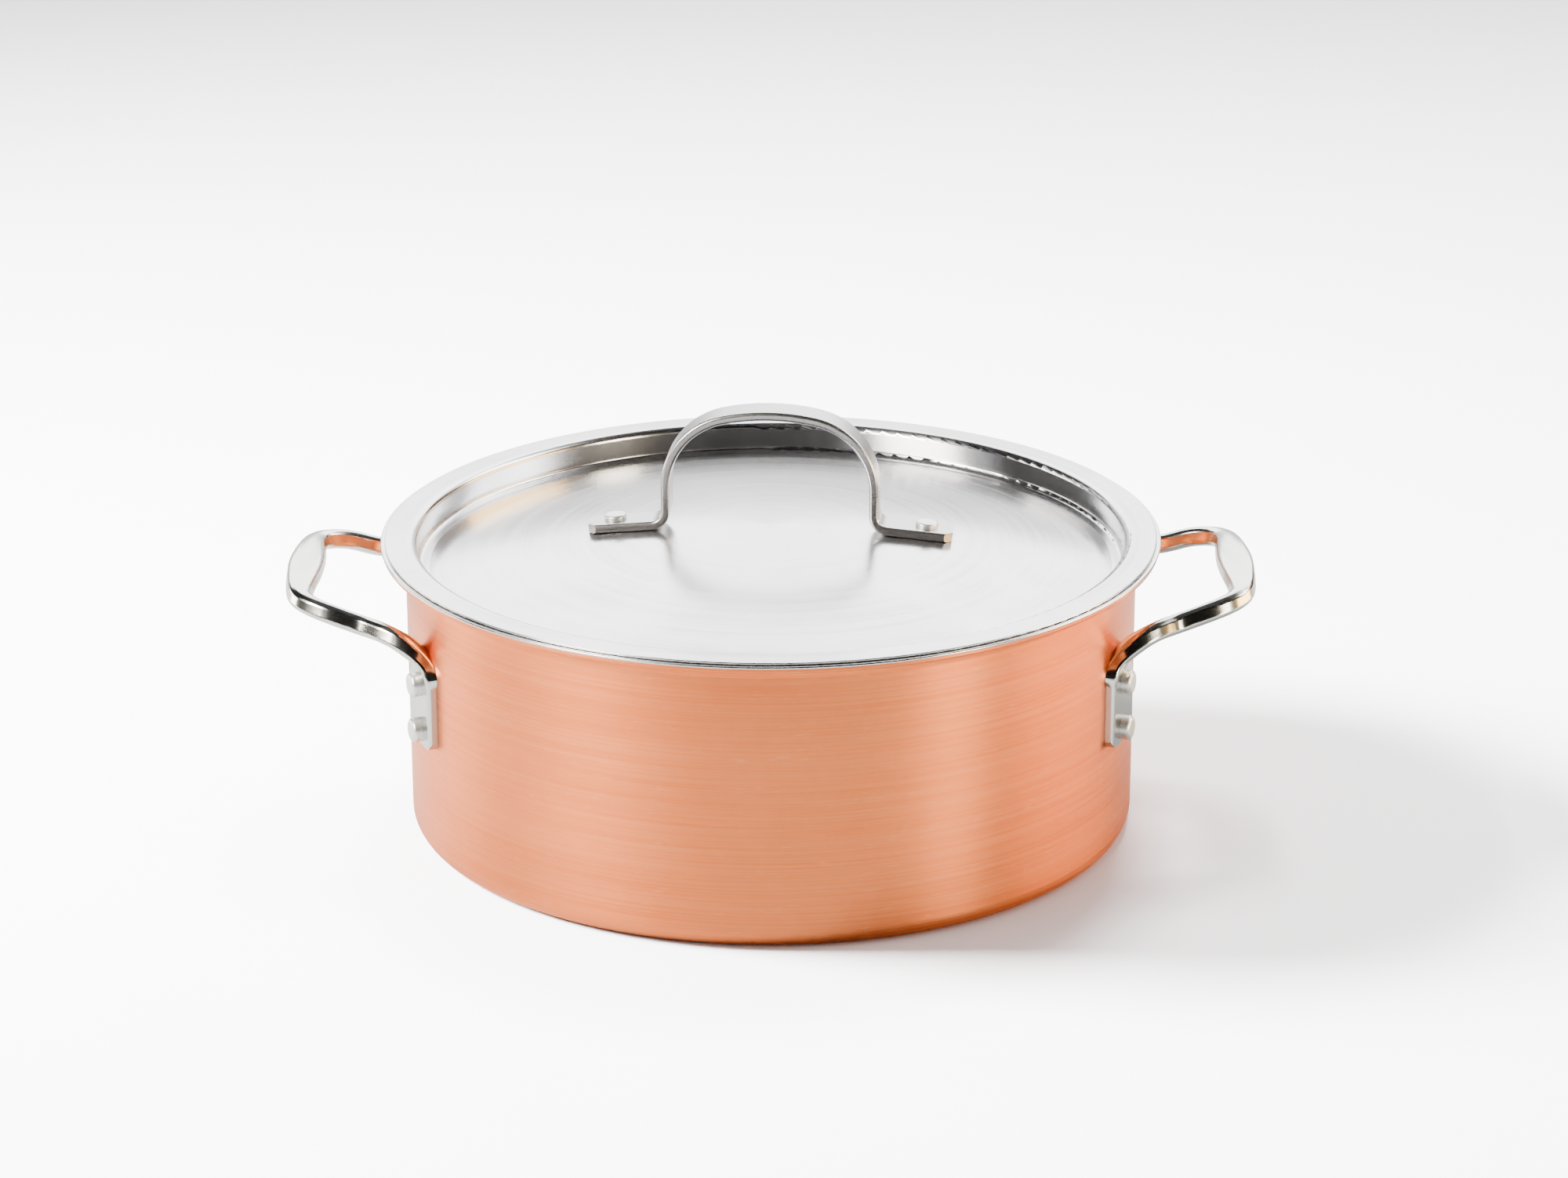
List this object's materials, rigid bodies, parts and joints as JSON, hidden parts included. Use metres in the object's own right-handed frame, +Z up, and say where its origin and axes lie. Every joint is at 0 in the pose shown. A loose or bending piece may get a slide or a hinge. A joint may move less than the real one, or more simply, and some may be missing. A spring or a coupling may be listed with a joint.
{
  "type": "casserole pot with lid",
  "caption": "Wide straight-sided copper casserole with a flared steel rim, riveted steel loop handles at the sides, and a recessed domed steel lid with a bent strap handle.",
  "frame": {"origin": "centre of the base, on the surface that the pot stands on", "axes": "+Z up, +X through the right side handle, +Y away from the viewer; the side handles lie on X"},
  "size_m": [0.3244, 0.2608, 0.1421],
  "materials": {
    "copper": "brushed round and round, satin",
    "core": "plain, sealed inside the wall",
    "liner_steel": "brushed inside, polished at the rim",
    "polished_steel": "mirror polished",
    "spun_steel": "spun, fine circular brushing",
    "strap_steel": "polished",
    "rivet_steel": "satin"
  },
  "bodies": {
    "pot": {"copper_shell": "copper", "aluminium_core": "core", "steel_liner": "liner_steel", "left_side_handle": "polished_steel", "right_side_handle": "polished_steel", "left_front_lower_rivet": "rivet_steel", "left_front_upper_rivet": "rivet_steel", "left_rear_lower_rivet": "rivet_steel", "left_rear_upper_rivet": "rivet_steel", "right_front_lower_rivet": "rivet_steel", "right_front_upper_rivet": "rivet_steel", "right_rear_lower_rivet": "rivet_steel", "right_rear_upper_rivet": "rivet_steel"},
    "cover": {"lid": "spun_steel", "lid_handle": "strap_steel", "lid_left_rivet": "rivet_steel", "lid_right_rivet": "rivet_steel"}
  },
  "joints": [
    {"name": "lid_lift", "type": "slide", "parent": "pot", "child": "cover", "axis": [0, 0, 1], "range_m": [0, 0.15]}
  ]
}
